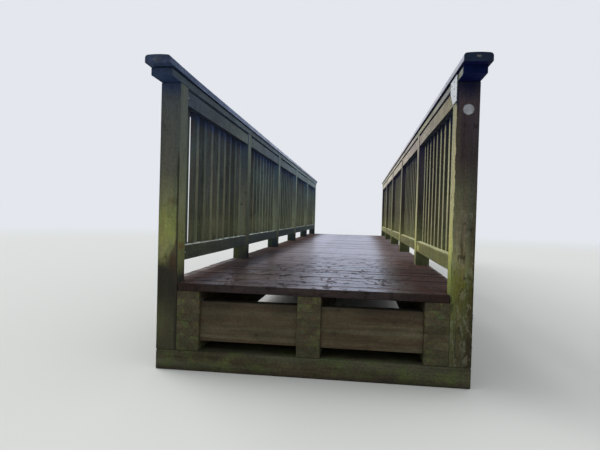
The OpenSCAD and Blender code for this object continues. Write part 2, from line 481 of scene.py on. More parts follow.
def cutLoops(bm, places, axis):
    # loops across a shape, where it will be eased or bent
    for place in places:
        point = Vector((0, 0, 0))
        point[axis] = place
        direction = Vector((0, 0, 0))
        direction[axis] = 1
        geometry = bm.verts[:] + bm.edges[:] + bm.faces[:]
        bmesh.ops.bisect_plane(bm, geom=geometry, plane_co=point, plane_no=direction)


def blockBetween(low, high):
    bm = bmesh.new()
    bmesh.ops.create_cube(bm, size=1.0)
    bmesh.ops.scale(bm, vec=high - low, verts=bm.verts)
    bmesh.ops.translate(bm, vec=(low + high) / 2, verts=bm.verts)
    return bm


def planedTimber(low, high, arris, rows=(), axis=0, segments=2, finish=0):
    # a block between two corners with rounded arrises, and loops where its shape will be eased
    bm = blockBetween(Vector(low), Vector(high))
    roundEdges(bm, bm.edges[:], arris, segments)
    cutLoops(bm, rows, axis)
    for face in bm.faces:
        face.material_index = finish
    return bm


def spaced(low, high, step):
    # places between two ends, about a step apart
    count = max(1, round((high - low) / step))
    return [low + (high - low) * k / count for k in range(1, count)]


# how near a vertex lies to a face to be counted as on it, where the edges are sharp and where rounded
hairline = 0.001
faceReach = 0.02


def easeTimber(bm, shape, low, high, axis):
    # a slight bow and unevenness, so that no timber is dead straight; both ends stay put
    others = [other for other in range(3) if other != axis]
    bows = [dice.uniform(-shape["bow"], shape["bow"]) for _ in others]
    phases = [dice.uniform(0, math.tau) for _ in others]
    for vert in bm.verts:
        share = min(1.0, max(0.0, (vert.co[axis] - low) / (high - low)))
        for other, bow, phase in zip(others, bows, phases):
            sway = bow * math.sin(math.pi * share)
            sway += shape["wobble"] * math.sin(phase + share * shape["ripple"]) * math.sin(math.pi * share)
            vert.co[other] += sway


def keepPiece(node, bm, finishes, smooth=True):
    # post_left_1 is replaced by the piece postLeft1, and a name of no node is the piece's own
    words = node.split("_")
    name = words[0] + "".join(word.title() for word in words[1:])
    bmesh.ops.recalc_face_normals(bm, faces=bm.faces)
    mesh = bpy.data.meshes.new(name)
    bm.to_mesh(mesh)
    bm.free()
    for finish in finishes:
        mesh.materials.append(finish)
    piece = bpy.data.objects.new(name, mesh)
    bpy.context.scene.collection.objects.link(piece)
    if smooth:
        mesh.shade_smooth()
        even = piece.modifiers.new("evenShading", "WEIGHTED_NORMAL")
        even.keep_sharp = False
    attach(piece, "root")
    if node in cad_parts:
        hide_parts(node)


# Finishes of the timbers. Limits are in metres in the bridge's own frame, and absX is the distance
# from its middle line. The walkway's surface is at deckTop.
# painted shade: the navy laid on the rails' undersides, where shade falls
paintedShadeNavy = (24, 33, 54)
beamGlue = {
    "foot": 0.12, "layer": 0.045, "shift": 3.7, "spread": 0.3, "seam": (0.475, 0.495), "seamDepth": 0.75,
    "seamColour": (36, 30, 22),
}

nearPostLeft = timberFinish("nearPostLeft", {
    "along": "Z", "figure": 30, "grainDepth": 0.22, "spread": 0.0, "mottle": 0.3, "mould": 0.32,
    "hue": 0.07, "wood": ((62, 66, 50), (74, 78, 58), (88, 92, 66)), "cracks": 0.5, "knots": 0.35,
    "layers": (
        # painted shade: the near face turns navy towards its top, in the shade under the handrail
        bands("near", "Z", (0.14, 56, 54, 40), (0.34, 72, 72, 50), (0.6, 96, 96, 58), (0.72, 107, 108, 74),
              (0.82, 110, 112, 69), (0.93, 99, 103, 64), (1.05, 93, 94, 72), (1.2, 72, 72, 64),
              (1.38, 68, 68, 65), (1.53, 66, 69, 68), (1.64, 61, 64, 70), (1.705, 46, 57, 81),
              ragged=(13, 0.04)),
        tint((124, 132, 70), 0.45, "near", ("Z", 1.08, 0.84), ("Z", 0.64, 0.78), ragged=(16, 0.05),
             patch=((1, 1, 0.5), 20, 0.42, 0.7)),
        tint((74, 66, 50), 0.55, "near", ragged=(26, 0.5),
             spot=(("absX", 0.826, 0.038), ("Z", 1.015, 0.022), 0.6)),
        bands("inner", "Z", (0.2, 60, 58, 44), (0.4, 52, 51, 40), (0.56, 40, 39, 34), (0.64, 92, 97, 61),
              (0.79, 106, 109, 69), (1.02, 109, 112, 88), (1.32, 87, 92, 84), (1.62, 78, 84, 80),
              ragged=(6, 0.05)),
        tint((44, 46, 36), 0.4, "near", ("Z", 1.68, 1.5), ragged=(9, 0.03),
             patch=((1, 1, 0.6), 13, 0.58, 0.68)),
        tint((60, 56, 42), 0.85, "near", ("drip", 0.665, 0.6), ("absX", 0.895, 0.845), ragged=(30, 0.02)),
        tint((50, 50, 37), 0.85, "near", ("Z", 0.695, 0.61), ("Z", 0.28, 0.5), ragged=(30, 0.035)),
        tint((56, 38, 28), 0.7, "near", ragged=(20, 0.3),
             spot=(("absX", 0.832, 0.022), ("Z", 0.63, 0.075), 0.6)),
        tint((40, 38, 32), 0.85, "near", ("absX", 0.818, 0.808), ("Z", 1.34, 1.24), ragged=(14, 0.004)),
        tint((96, 66, 42), 0.6, "inner", ragged=(20, 0.3),
             spot=(("Y", -4.5, 0.05), ("Z", 0.745, 0.022), 0.6)),
        tint((40, 38, 30), 1.0, "near", ("Z", 0.65, 0.58), ("Z", 0.26, 0.52), ragged=(16, 0.05)),
        tint((34, 36, 34), 0.5, "near", ("absX", 0.915, 0.922), ("Z", 1.0, 1.4), ragged=(10, 0.004)),
    ),
})
nearPostRight = timberFinish("nearPostRight", {
    "along": "Z", "figure": 24, "grainDepth": 0.32, "spread": 0.0, "mottle": 0.34, "mould": 0.4, "hue": 0.1,
    "wood": ((60, 60, 44), (72, 72, 52), (86, 86, 62)), "cracks": 0.8, "crackWidth": 0.014, "knots": 0.6,
    "layers": (
        # painted shade: the near face turns navy at its top, in the shade under the handrail
        bands("near", "Z", (0.16, 56, 52, 38), (0.4, 64, 62, 38), (0.6, 80, 79, 36), (0.72, 103, 98, 71),
              (0.88, 85, 80, 66), (1.02, 75, 72, 59), (1.12, 69, 68, 56), (1.3, 48, 40, 41),
              (1.5, 51, 43, 50), (1.62, 54, 46, 52), (1.7, 28, 28, 46), ragged=(6, 0.06)),
        tint((66, 63, 50), 0.6, "near", ("absX", 0.832, 0.812), ("Z", 0.92, 1.08), ("Z", 1.6, 1.5),
             ragged=(12, 0.006)),
        # painted shade: navy along the near face's inner arris at its top
        tint((12, 16, 40), 0.7, "near", ("absX", 0.811, 0.805), ("Z", 1.54, 1.61), ragged=(12, 0.002)),
        tint((36, 38, 44), 0.3, "near", ("absX", 0.896, 0.914), ("Z", 0.95, 1.15), ragged=(12, 0.006)),
        tint((48, 50, 40), 0.5, "near", ("absX", 0.908, 0.918), ("Z", 1.1, 1.0), ragged=(12, 0.006)),
        shade((1.6, 1.6, 1.45), "near", ("absX", 0.862, 0.812), ("Z", 1.22, 1.04), ragged=(9, 0.012)),
        shade((0.55, 0.55, 0.52), "near", ("absX", 0.872, 0.902), ("Z", 1.12, 0.85), ragged=(9, 0.012)),
        # painted shadow: a navy patch spreading down from the near face's top
        tint((6, 12, 40), 0.9, "near", ragged=(20, 0.2),
             spot=(("absX", 0.866, 0.042), ("Z", 1.735, 0.078), 0.8)),
        tint((118, 118, 102), 0.3, "near", ("Z", 1.04, 0.94), ragged=(9, 0.05),
             patch=((1, 1, 0.5), 42, 0.52, 0.62)),
        tint((34, 30, 24), 0.6, "near", ("Z", 1.04, 0.94), patch=((1, 1, 0.5), 30, 0.57, 0.64)),
        tint((30, 26, 26), 0.8, "near", ragged=(30, 0.3),
             spot=(("absX", 0.905, 0.014), ("Z", 1.475, 0.012), 0.5)),
        tint((40, 35, 28), 0.6, "near", ragged=(30, 0.3),
             spot=(("absX", 0.846, 0.004), ("Z", 0.822, 0.036), 0.7)),
        tint((40, 35, 28), 0.6, "near", ragged=(30, 0.3),
             spot=(("absX", 0.854, 0.005), ("Z", 0.772, 0.036), 0.7)),
        tint((40, 35, 28), 0.6, "near", ragged=(30, 0.3),
             spot=(("absX", 0.864, 0.007), ("Z", 0.728, 0.024), 0.7)),
        # painted shade: the inner face turns navy at its top, beside and under the plate
        bands("inner", "Z", (0.2, 74, 70, 48), (0.42, 92, 92, 54), (0.6, 117, 126, 63),
              (0.8, 163, 162, 102), (1.05, 161, 157, 120), (1.3, 147, 143, 114), (1.602, 132, 131, 109),
              (1.61, 14, 17, 30), where=(("Y", -4.556, -4.552),), ragged=(6, 0.04)),
        # painted shadow: navy on the inner face by its near edge, just below and beside the plate
        tint((6, 9, 30), 0.9, "inner", ("Y", -4.53, -4.542), ("Z", 1.58, 1.6)),
    ),
})
postLeft = timberFinish("postLeft", {
    "along": "Z", "figure": 26, "spread": 0.15, "grainDepth": 0.25, "hue": 0.08,
    "wood": ((56, 60, 50), (66, 70, 58), (78, 82, 68)),
    "layers": (
        bands("inner", "Z", (0.56, 17, 19, 17), (0.75, 81, 85, 71), (1.1, 84, 89, 79), (1.4, 103, 111, 103),
              (1.68, 104, 116, 114), ragged=(6, 0.06)),
        # painted shade: the near faces turn darker and bluer towards the top, under the handrail
        bands("near", "Z", (0.56, 62, 66, 58), (0.75, 106, 109, 90), (1.3, 74, 80, 80), (1.55, 61, 75, 90),
              (1.7, 41, 62, 110)),
        tint((84, 90, 54), 0.7, "near", ("absX", 0.85, 0.89), ("Z", 0.66, 0.63), ragged=(20, 0.01)),
        # painted light: the posts lighter further along the bridge
        shade((1.3, 1.38, 1.35), "all", ("Y", -2.6, 0.5)),
        # painted shade: the near faces darker and bluer below the bottom rail
        shade((0.36, 0.42, 0.66), "near", ("Z", 0.67, 0.62), ("Y", -3.2, -1.0), ragged=(20, 0.01)),
    ),
})
postRight = timberFinish("postRight", {
    "along": "Z", "figure": 26, "spread": 0.15, "hue": 0.08,
    "wood": ((62, 61, 46), (72, 71, 54), (86, 84, 64)),
    "layers": (
        bands("inner", "Z", (0.56, 111, 107, 78), (0.72, 188, 188, 127), (1.0, 167, 164, 126),
              (1.45, 128, 125, 111), (1.68, 151, 142, 129), ragged=(6, 0.06)),
        # painted shade: the near faces turn navy at the top, under the handrail
        bands("near", "Z", (0.56, 72, 78, 52), (0.75, 103, 103, 72), (1.05, 57, 53, 48), (1.45, 60, 54, 64),
              (1.7, 21, 30, 71)),
        # painted shade: the inner faces darker further along the bridge
        shade((0.78, 0.78, 0.78), "inner", ("Y", -2.6, -0.9)),
    ),
})
topRailLeft = timberFinish("topRailLeft", {
    "along": "Y", "figure": 30, "spread": 0.15, "runs": 0.28, "mould": 0.4, "hue": 0.06,
    "wood": ((50, 57, 58), (58, 66, 67), (68, 76, 76)),
    "layers": (
        # painted light: the inner face lighter and bluer towards the far end
        bands("inner", "Y", (-4.4, 58, 67, 80), (-3.7, 64, 73, 80), (-3.4, 72, 82, 86),
              (-3.0, 90, 101, 101), (-1.6, 80, 91, 103), (0.6, 110, 125, 133)),
        # painted shade: navy on the underside
        tint(paintedShadeNavy, 0.9, "down"),
    ),
})
bottomRailLeft = timberFinish("bottomRailLeft", {
    "along": "Y", "figure": 30, "spread": 0.15, "runs": 0.35, "mould": 0.45, "hue": 0.08,
    "wood": ((44, 47, 40), (52, 55, 46), (62, 65, 54)),
    "layers": (
        bands("inner", "Y", (-4.4, 66, 68, 54), (-4.2, 70, 72, 60), (-3.0, 61, 68, 66), (-1.0, 53, 63, 65)),
        # painted highlight: a pale wet sheen on the top face, and the inner face's upper edge lighter
        tint((190, 197, 194), 0.9, "up", patch=((1, 0.4, 1), 26, 0.38, 0.6)),
        tint((92, 98, 84), 0.6, "inner", ("Z", 0.738, 0.745)),
    ),
})
picketLeft = timberFinish("picketLeft", {
    "along": "Z", "figure": 30, "spread": 0.42, "mould": 0.4, "hue": 0.12, "grainDepth": 0.35,
    "wood": ((56, 59, 52), (66, 69, 60), (78, 81, 70)),
    "layers": (
        # painted shade: both faces turn navy at the heads, in the shade under the top rail
        bands("near", "Z", (0.88, 79, 80, 65), (0.95, 66, 68, 58), (1.1, 65, 66, 63), (1.4, 61, 69, 73),
              (1.545, 56, 62, 70), (1.59, 42, 52, 76), ragged=(7, 0.06)),
        bands("inner", "Z", (0.76, 98, 100, 80), (0.9, 104, 106, 86), (1.1, 98, 102, 88), (1.4, 90, 97, 93),
              (1.54, 66, 77, 93), (1.59, 38, 54, 93), ragged=(7, 0.06)),
        tint((58, 44, 40), 0.45, "near", ("Z", 1.1, 1.4), ("Z", 1.6, 1.54),
             patch=((1, 1, 0.15), 26, 0.46, 0.6)),
        tint((36, 37, 33), 0.45, "all", patch=((1, 1, 0.1), 34, 0.56, 0.64)),
        # painted shade: the first picket's inner face darker
        tint((52, 56, 50), 0.8, "inner", ("Y", -4.26, -4.28)),
        # painted light: lighter and bluer further along the bridge
        shade((1.15, 1.25, 1.32), "all", ("Y", -3.0, -1.0)),
        # painted shade: navy at the heads' outer faces, between the rails
        tint((32, 40, 56), 1.0, "outer", ("Z", 1.5, 1.6)),
    ),
})
topRailRight = timberFinish("topRailRight", {
    "along": "Y", "figure": 30, "spread": 0.15, "runs": 0.22, "mould": 0.4, "hue": 0.05,
    "wood": ((84, 82, 62), (96, 94, 72), (110, 108, 82)),
    "layers": (
        # painted light: the inner face lighter towards the far end
        bands("inner", "Y", (-4.4, 113, 108, 89), (-3.2, 139, 132, 121), (-2.4, 145, 135, 129),
              (-0.8, 178, 170, 157)),
        # painted shade: navy on the underside
        tint(paintedShadeNavy, 0.9, "down"),
    ),
})
bottomRailRight = timberFinish("bottomRailRight", {
    "along": "Y", "figure": 30, "spread": 0.15, "runs": 0.3, "mould": 0.5, "hue": 0.08,
    "wood": ((78, 77, 52), (90, 89, 60), (104, 102, 70)),
    "layers": (
        bands("inner", "Y", (-4.4, 108, 108, 69), (-3.0, 121, 117, 77), (-2.0, 110, 109, 75),
              (0.0, 127, 126, 85)),
        # painted light: the inner face's upper edge lighter and the top face pale, where light falls
        tint((150, 148, 100), 0.5, "inner", ("Z", 0.728, 0.742)),
        tint((174, 172, 134), 1.0, "up"),
        tint((204, 199, 116), 0.85, "inner", ragged=(14, 0.3),
             spot=(("Y", -2.865, 0.07), ("Z", 0.69, 0.03), 0.6)),
    ),
})
picketRight = timberFinish("picketRight", {
    "along": "Z", "figure": 30, "spread": 0.25, "mould": 0.45, "hue": 0.08,
    "wood": ((70, 68, 50), (82, 80, 60), (96, 93, 70)),
    "layers": (
        # painted light and shade: inner faces lit, near faces darker, both navy at the heads under the top
        # rail
        bands("inner", "Z", (0.76, 144, 141, 104), (0.95, 158, 153, 122), (1.25, 134, 131, 111),
              (1.42, 126, 123, 102), (1.56, 116, 113, 90), (1.6, 46, 50, 62), ragged=(7, 0.06)),
        bands("near", "Z", (0.76, 93, 93, 66), (0.95, 65, 63, 50), (1.15, 43, 43, 36), (1.45, 37, 36, 38),
              (1.6, 21, 26, 54), ragged=(7, 0.06)),
        # painted light and shade: lighter and darker stretches along the bridge and at the nearest pickets
        shade((0.62, 0.62, 0.62), "inner", ("Y", -2.9, -2.5)),
        shade((1.8, 1.8, 1.7), "near", ("Y", -2.9, -2.5)),
        shade((1.4, 1.4, 1.35), "all", ("Y", -1.4, -0.6), ("Z", 1.0, 1.2)),
        shade((1.26, 1.25, 1.16), "inner", ("Y", -3.5, -3.8), ("Z", 1.0, 1.2)),
        shade((1.6, 1.55, 1.42), "near", ("Y", -3.4, -3.7), ("Z", 0.9, 1.05), ("Z", 1.58, 1.48)),
    ),
})
handrailLeft = timberFinish("handrailLeft", {
    "along": "Y", "figure": 30, "spread": 0.1, "mould": 0.6, "mouldSize": 42, "mottle": 0.6, "hue": 0.03,
    "shine": 0.12, "wood": ((62, 70, 72), (74, 82, 82), (90, 98, 96)),
    "layers": (
        # painted reflection: the inner side slate-blue from the sky, lighter towards the far end
        bands("inner", "Y", (-4.72, 70, 83, 109), (-4.2, 83, 96, 125), (-3.0, 122, 134, 163),
              (-1.0, 180, 188, 210), (2.0, 148, 155, 176)),
        # painted highlight: a pale line low on the inner side near the near end
        tint((136, 147, 176), 0.7, "inner", ("Z", 1.779, 1.775), ("Y", -4.6, -4.0), ragged=(20, 0.002)),
        tint((84, 88, 80), 0.8, "up"),
        # painted shade: the underside navy, a little lighter at the near end
        tint((37, 56, 90), 0.95, "down"),
        tint((48, 63, 92), 1.0, "down", ("Y", -4.69, -4.71)),
        tint((56, 60, 56), 1.0, "sawnY"),
        # painted shade: the near end face bluish
        tint((51, 61, 83), 1.0, "near"),
        tint((78, 84, 84), 0.5, "sawnY", ragged=(40, 0.5),
             spot=(("absX", 0.868, 0.022), ("Z", 1.798, 0.012), 0.7)),
    ),
})
handrailRight = timberFinish("handrailRight", {
    "along": "Y", "figure": 30, "spread": 0.1, "mould": 0.25, "hue": 0.02, "shine": 0.12,
    "wood": ((86, 88, 76), (98, 100, 88), (112, 114, 102)),
    "layers": (
        # painted light: the inner side lighter towards the far end
        bands("inner", "Y", (-4.7, 156, 157, 168), (-3.0, 181, 181, 189), (-1.0, 197, 193, 199),
              (1.0, 174, 170, 170)),
        # painted shade: a navy band low on the inner side
        tint((24, 32, 50), 0.85, "inner", ("Z", 1.777, 1.773)),
        tint((104, 106, 96), 0.8, "up"),
        # painted shade: navy on the underside
        tint((1, 6, 50), 1.0, "down"),
        tint((44, 48, 46), 1.0, "sawnY"),
        # painted shade: the near end face navy
        tint((23, 33, 51), 1.0, "near"),
        tint((104, 102, 90), 0.7, "sawnY", ragged=(90, 0.9),
             spot=(("absX", 0.864, 0.01), ("Z", 1.797, 0.005), 0.8)),
    ),
})
underRailLeft = timberFinish("underRailLeft", {
    "along": "Y", "figure": 30, "spread": 0.1, "mould": 0.35, "hue": 0.06, "shine": 0.08,
    "wood": ((46, 54, 52), (54, 62, 58), (64, 72, 66)),
    "layers": (
        # painted light: the inner face lighter and bluer towards the far end
        bands("inner", "Y", (-4.66, 61, 71, 84), (-4.4, 69, 79, 88), (-3.0, 89, 101, 111),
              (-1.5, 94, 107, 121), (0.6, 131, 148, 157)),
        # painted shadow: navy along the inner face's top, under the handrail
        tint((34, 42, 60), 0.8, "inner", ("Z", 1.76, 1.768)),
        # painted shade: a navy underside, lighter beyond the near bay where the gap to the top rail shows
        tint((37, 53, 87), 0.95, "down"),
        tint((92, 106, 132), 0.95, "down", ("Y", -4.46, -4.42)),
        tint((52, 56, 52), 1.0, "sawnY"),
        # painted shade: the near end face navy
        tint((42, 54, 78), 1.0, "near"),
    ),
})
underRailRight = timberFinish("underRailRight", {
    "along": "Y", "figure": 30, "spread": 0.1, "mould": 0.35, "hue": 0.06, "shine": 0.08,
    "wood": ((80, 79, 60), (92, 90, 68), (104, 102, 78)),
    "layers": (
        # painted light and shade: navy at the near end and by the post, lighter towards the far end
        bands("inner", "Y", (-4.704, 12, 17, 38), (-4.682, 116, 118, 118), (-4.645, 126, 128, 122),
              (-4.6, 100, 102, 90), (-4.57, 38, 40, 44), (-4.5, 93, 93, 82), (-4.2, 126, 125, 125),
              (-3.1, 142, 140, 120), (-2.6, 140, 138, 126), (-2.2, 168, 160, 156), (-1.5, 154, 150, 144),
              (0.5, 178, 172, 158)),
        # painted shadow: navy along the inner face's top, under the handrail
        tint((24, 28, 44), 0.85, "inner", ("Z", 1.758, 1.766)),
        # painted shade: a navy underside, lighter beyond the near bay where the gap to the top rail shows
        tint((1, 9, 56), 1.0, "down"),
        tint((78, 78, 92), 0.95, "down", ("Y", -4.46, -4.42)),
        tint((44, 48, 46), 1.0, "sawnY"),
        # painted shade: the near end face navy
        tint((2, 13, 51), 1.0, "near"),
    ),
})
deckFinish = timberFinish("deckBoards", {
    "along": "X", "figure": 20, "spread": 0.35, "grainDepth": 0.4, "mould": 0.4, "hue": 0.1,
    "wood": ((60, 43, 39), (80, 56, 49), (102, 73, 63)), "rough": (0.82, 0.94), "shine": 0.12,
    "coatRough": 0.26, "coatBend": 1.54, "filmBump": (0.5, 0.0018), "flecks": 0.7,
    "layers": (
        tint((48, 38, 36), 0.5, "all", patch=((1, 1, 1), 5, 0.48, 0.66), whole=True),
        # partly a worn path, partly painted reflection: a pale lilac sheen down the middle of the walkway
        tint((164, 154, 164), 0.8, "up", ("absX", 0.76, 0.42), ("Y", -4.2, -0.8), ragged=(5, 0.08),
             whole=True),
        tint((150, 141, 142), 0.45, "up", ("absX", 0.89, 0.908), ragged=(14, 0.008)),
        tint((206, 197, 202), 0.9, "up", ("X", -0.852, -0.872), ("Y", -2.7, -3.1), ragged=(14, 0.01)),
        tint((150, 143, 144), 0.3, "up", ("X", -0.77, -0.84), ("Y", -3.5, -4.0), ragged=(14, 0.03)),
        tint((150, 146, 134), 0.6, "sawnX"),
        tint((74, 76, 52), 0.5, "all", ("absX", 0.7, 0.9), patch=((1, 1, 1), 9, 0.48, 0.62)),
        # painted reflection: pale lilac right of the middle
        tint((130, 116, 121), 0.6, "up", ("X", 0.5, 0.64), ("Y", -2.9, -1.2), ragged=(5, 0.08), whole=True),
        # painted shade: the lane by the left parapet darker, where it shows no sky
        tint((36, 28, 28), 0.72, "up", ("X", -0.54, -0.66), ("Y", -0.8, -1.8), ragged=(5, 0.08),
             whole=True),
        # painted sheen: a lighter stretch left of the middle near the near end
        shade((1.45, 1.45, 1.5), "up", ("X", -0.62, -0.48), ("X", -0.14, -0.3), ("Y", -3.6, -3.0),
              ragged=(5, 0.08), whole=True),
        shade((0.62, 0.6, 0.58), "up", ("X", 0.06, 0.26), ("Y", -2.6, -3.6), ragged=(5, 0.08), whole=True),
        shade((1.55, 1.42, 1.38), "up", ("X", -0.6, -0.74), ("Y", -3.2, -3.7), ragged=(5, 0.06)),
        tint((34, 27, 25), 0.7, "all", ("Y", -1.0, -3.0), ragged=(4, 1.2),
             patch=((1, 0.45, 1), 20, 0.54, 0.62), whole=True),
        tint((28, 24, 22), 0.6, "all", patch=((0.6, 1, 1), 30, 0.64, 0.68), whole=True),
        # partly grime, partly painted shadow: dark lines along the gaps at the edges of some boards
        tint((22, 18, 18), 0.9, "all", ("board", 0.058, 0.068), ragged=(14, 0.006), odd=(0.3, 0.7)),
    ),
    "wet": lay(1.0, "all", ("X", -0.76, -0.48), ("X", 0.7, 0.42), ragged=(5, 0.08),
               patch=((0.7, 1.3, 1), 4, 0.26, 0.4), whole=True, rough=0.5),
    "dry": (
        lay(0.8, "all", ("Y", -1.0, -3.0), ragged=(4, 1.2), patch=((1, 0.45, 1), 20, 0.54, 0.62),
            whole=True),
        lay(0.9, "all", patch=((0.6, 1, 1), 30, 0.62, 0.66), whole=True),
        lay(0.9, "all", ("board", 0.06, 0.07), ragged=(14, 0.006), odd=(0.4, 0.7)),
    ),
})
beamFinish = timberFinish("gluedBeams", {
    "along": "Y", "figure": 26, "spread": 0.1, "glue": beamGlue, "mould": 0.45, "mottle": 0.5,
    "wood": ((62, 56, 42), (74, 67, 50), (88, 80, 60)),
    "layers": (
        tint((60, 64, 42), 0.7, "all", ("Z", 0.3, 0.12), ragged=(5, 0.1)),
        tint((46, 42, 34), 0.7, "all", ("Z", 0.36, 0.5), ragged=(4, 0.08)),
        tint((58, 53, 42), 0.7, "sawnY"),
        tint((72, 80, 46), 0.6, "sawnY", patch=((1, 1, 1), 16, 0.5, 0.64)),
    ),
})
blockFinish = timberFinish("crossBlocks", {
    "along": "X", "figure": 26, "spread": 0.3, "mottle": 0.5,
    "wood": ((60, 53, 42), (72, 64, 50), (86, 76, 60)),
    "layers": (
        tint((38, 35, 30), 0.7, "all", ("Z", 0.34, 0.44), ragged=(5, 0.05)),
    ),
})
seatFinish = timberFinish("bankSeats", {
    "along": "X", "figure": 18, "spread": 0.3, "mottle": 0.6, "mould": 0.5,
    "wood": ((48, 45, 36), (60, 56, 44), (74, 69, 55)), "cracks": 0.9,
    "layers": (
        tint((66, 74, 42), 0.7, "all", patch=((1, 1, 1), 6, 0.45, 0.62)),
        tint((38, 34, 28), 0.8, "all", ("Z", 0.05, 0.0), ragged=(8, 0.03)),
    ),
})
print("timber finishes made")


# what the metals and the marker share: their noise, the spans of it that count, and its depths
metalLook = {
    "noise": (4.0, 0.6), "cloudSpan": (0.35, 0.65), "flakes": 0.25, "streak": (1, 1, 0.25),
    "stainSpan": (0.55, 0.7), "roughSpread": 0.3, "bump": (0.3, 0.0004),
}


def metalFinish(name, ownLook):
    # zinc coat or bare steel with soft spangle and dulled patches
    values = {**metalLook, **ownLook}
    sheet = FinishSheet(name)
    cloudy = sheet.noise(sheet.place, values["cloud"], *values["noise"])
    spangle = sheet.add("ShaderNodeTexVoronoi", {"Vector": sheet.place, "Scale": values["spangle"]})
    flakes = sheet.split(spangle.outputs["Color"])[0]
    dark, pale, flake, stain = (rgb(*values[key]) for key in ("dark", "pale", "flake", "stain"))
    colour = sheet.blend(sheet.slide(cloudy, *values["cloudSpan"]), dark, pale)
    colour = sheet.blend(sheet.times(flakes, values["flakes"]), colour, flake)
    dulled = sheet.stretch(sheet.place, values["streak"])
    dulled = sheet.noise(dulled, values["stainSize"], *values["noise"])
    dulled = sheet.times(sheet.slide(dulled, *values["stainSpan"]), values["stained"])
    colour = sheet.blend(dulled, colour, stain)
    roughness = sheet.plus(sheet.times(cloudy, values["roughSpread"]), values["rough"])
    sheet.bumps(cloudy, *values["bump"])
    sheet.dress({"Base Color": colour, "Roughness": roughness, "Metallic": values["metal"]})
    return sheet.material


zincPlate = metalFinish("zincPlate", {
    "dark": (180, 184, 186), "pale": (198, 201, 203), "flake": (203, 206, 208), "stain": (138, 140, 134),
    "stained": 0.12, "stainSize": 30, "cloud": 14, "spangle": 160, "rough": 0.45, "metal": 0.1,
})
zincFixing = metalFinish("zincFixings", {
    "dark": (150, 152, 152), "pale": (190, 192, 194), "flake": (215, 216, 220), "stain": (104, 84, 66),
    "stained": 0.6, "stainSize": 60, "cloud": 90, "spangle": 300, "rough": 0.32, "metal": 0.7,
})
dullFixing = metalFinish("dullFixings", {
    "dark": (58, 50, 46), "pale": (84, 76, 70), "flake": (96, 92, 88), "stain": (66, 42, 30),
    "stained": 0.7, "stainSize": 60, "cloud": 90, "spangle": 300, "rough": 0.6, "metal": 0.2,
})
markerFinish = metalFinish("markerPlastic", {
    "dark": (124, 126, 129), "pale": (147, 149, 152), "flake": (152, 154, 158), "stain": (112, 114, 110),
    "stained": 0.5, "stainSize": 40, "cloud": 26, "spangle": 90, "rough": 0.4, "metal": 0.0,
})

# Posts
postShape = {
    "arris": 0.006, "rowStep": 0.12, "bow": 0.0012, "wobble": 0.0006, "ripple": 9.0, "footFall": 0.025,
}
postFinishes = {
    "left": postLeft, "right": postRight, "left1": nearPostLeft, "right1": nearPostRight,
}


def makePost(side, number):
    node = f"post_{side}_{number}"
    low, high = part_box(node)
    rows = spaced(low.z, high.z, postShape["rowStep"])
    bm = planedTimber(low, high, postShape["arris"], rows, axis=2, segments=3)
    easeTimber(bm, postShape, low.z, high.z, axis=2)
    if number not in (1, bays + 1):
        # the feet between the bank seats are cut to a slope
        inner = min(abs(low.x), abs(high.x))
        for vert in bm.verts:
            if vert.co.z < low.z + faceReach:
                vert.co.z += postShape["footFall"] * (abs(vert.co.x) - inner) / (high.x - low.x)
    finish = postFinishes.get(f"{side}{number}", postFinishes[side])
    keepPiece(node, markTimber(bm), [finish])


for side in sides:
    for number in range(1, bays + 2):
        makePost(side, number)
print("posts made")

# Parapet panels: a pair of rails above and below, and the pickets housed between them
panelShape = {
    "innerRail": 0.805, "outerRail": 0.882, "railThick": 0.038, "railDepth": 0.095,
    "railFeet": (1.617, 0.653), "railArris": 0.003, "railFall": 0.003, "railStep": 0.16,
    "pickets": 9, "picketInner": 0.839, "picketThick": 0.047, "picketWidth": 0.050, "picketArris": 0.0025,
    "picketFoot": 0.665, "picketHead": 1.700, "picketStep": 0.2,
    "firstShift": 0.21, "slip": 0.004, "bow": 0.0012, "wobble": 0.0004, "ripple": 9.0,
    # pickets of the near left bay that stand nearer than their even places, in metres
    "nearSlips": (0, 0.010, 0.014, 0.014, 0.007, 0.007, 0.006, 0, 0),
}
panelFinishes = {
    "left": (topRailLeft, bottomRailLeft, picketLeft),
    "right": (topRailRight, bottomRailRight, picketRight),
}


def picketStarts(low, high):
    # the gap between the pickets of a bay, and where each picket starts
    width, count = panelShape["picketWidth"], panelShape["pickets"]
    gap = (high.y - low.y - count * width) / (count + 1)
    return gap, [low.y + gap + k * (width + gap) for k in range(count)]


def makeRail(side, inner, foot, low, high, finish):
    # the top falls away from the pickets, so the inner and the outer rail mirror each other
    shape = panelShape
    xs = sorted((sides[side] * inner, sides[side] * (inner + shape["railThick"])))
    head = foot + shape["railDepth"]
    free = inner if inner < shape["picketInner"] else inner + shape["railThick"]
    rows = spaced(low.y, high.y, shape["railStep"])
    bm = planedTimber(
        (xs[0], low.y, foot), (xs[1], high.y, head), shape["railArris"], rows, axis=1, finish=finish,
    )
    for vert in bm.verts:
        if vert.co.z > head - faceReach:
            away = abs(abs(vert.co.x) - free) / shape["railThick"]
            vert.co.z -= shape["railFall"] * (1 - away)
    easeTimber(bm, shape, low.y, high.y, axis=1)
    return markTimber(bm)


def makePicket(side, start, finish):
    shape = panelShape
    inner, foot, head = shape["picketInner"], shape["picketFoot"], shape["picketHead"]
    xs = sorted((sides[side] * inner, sides[side] * (inner + shape["picketThick"])))
    bm = planedTimber(
        (xs[0], start, foot), (xs[1], start + shape["picketWidth"], head), shape["picketArris"],
        spaced(foot, head, shape["picketStep"]), axis=2, finish=finish,
    )
    easeTimber(bm, shape, foot, head, axis=2)
    return markTimber(bm)


